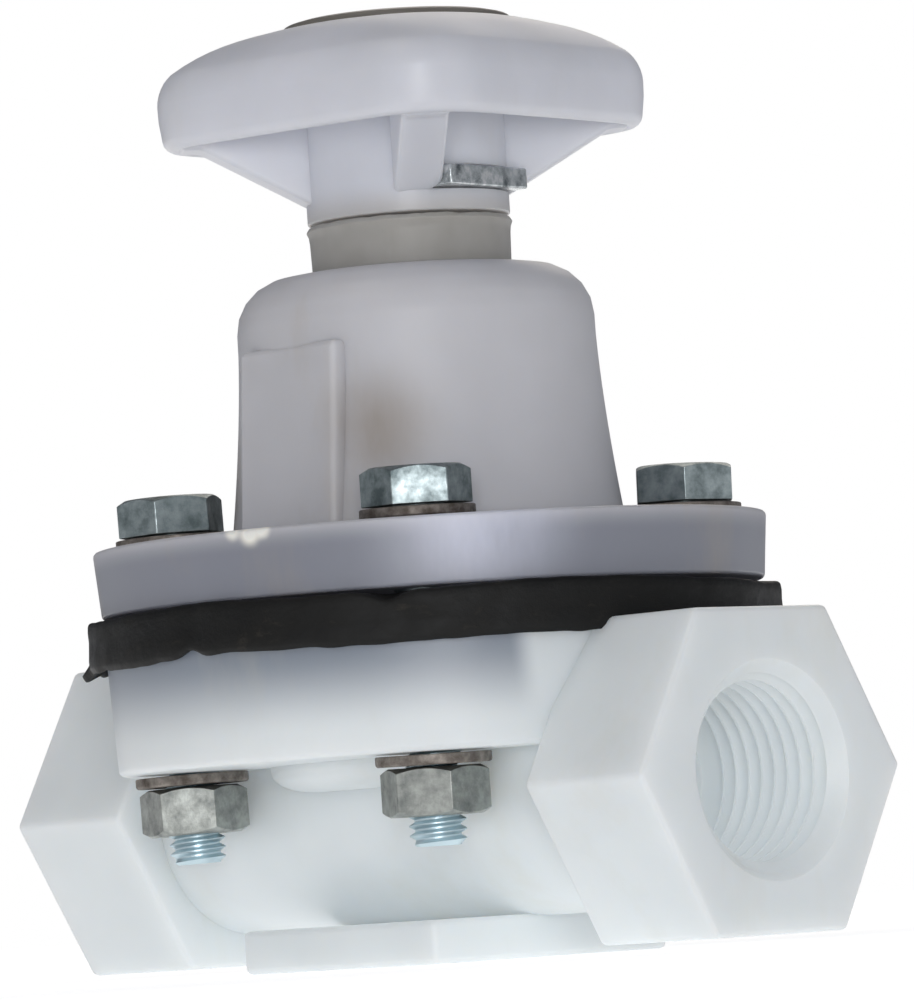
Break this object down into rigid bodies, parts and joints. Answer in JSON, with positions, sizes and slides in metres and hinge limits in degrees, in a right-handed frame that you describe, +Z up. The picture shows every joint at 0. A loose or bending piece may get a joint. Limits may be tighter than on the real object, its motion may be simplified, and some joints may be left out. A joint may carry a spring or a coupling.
{
  "type": "diaphragm valve",
  "caption": "Plastic weir-type diaphragm valve with hexagonal screwed ends, bolted bell bonnet, black rubber diaphragm and a ribbed rounded-square handwheel.",
  "frame": {"origin": "centre of the foot pad's underside, on the spindle's axis", "axes": "+Z up along the spindle, +X along the flow axis out of the outlet mouth, +Y across"},
  "size_m": [0.095, 0.073, 0.1005],
  "materials": {
    "natural_polypropylene": "satin, translucent white moulding",
    "bush_polypropylene": "satin, greyer white",
    "black_rubber": "matt, dusty",
    "zinc_plated_steel": "bright blue-white zinc",
    "weathered_washer_steel": "dull, browned",
    "turned_spindle_steel": "turned"
  },
  "bodies": {
    "valve": {"valve_body": "natural_polypropylene", "diaphragm": "black_rubber", "bonnet": "natural_polypropylene", "bonnet_bush": "bush_polypropylene", "bolt_1": "zinc_plated_steel", "bolt_2": "zinc_plated_steel", "bolt_3": "zinc_plated_steel", "bolt_4": "zinc_plated_steel", "head_washer_1": "weathered_washer_steel", "head_washer_2": "weathered_washer_steel", "head_washer_3": "weathered_washer_steel", "head_washer_4": "weathered_washer_steel", "nut_washer_1": "weathered_washer_steel", "nut_washer_2": "weathered_washer_steel", "nut_washer_3": "weathered_washer_steel", "nut_washer_4": "weathered_washer_steel", "nut_1": "zinc_plated_steel", "nut_2": "zinc_plated_steel", "nut_3": "zinc_plated_steel", "nut_4": "zinc_plated_steel"},
    "lift": {"compressor": "natural_polypropylene", "diaphragm_stud": "zinc_plated_steel", "swivel_nut": "turned_spindle_steel"},
    "wheel": {"handwheel": "natural_polypropylene", "spindle": "turned_spindle_steel", "wheel_lock_plate": "zinc_plated_steel", "wheel_cap": "natural_polypropylene"}
  },
  "joints": [
    {"name": "spindle_lift", "type": "slide", "parent": "valve", "child": "lift", "axis": [0, 0, 1], "range_m": [0, 0.0075], "deforming": ["diaphragm"]},
    {"name": "handwheel_turn", "type": "hinge", "parent": "lift", "child": "wheel", "pos_m": [0, 0, 0.0789], "axis": [0, 0, 1], "range_deg": [0, 900]}
  ],
  "couplings": [
    {"joint": "spindle_lift", "follows": "handwheel_turn", "m_per_rad": 0.00047746}
  ]
}
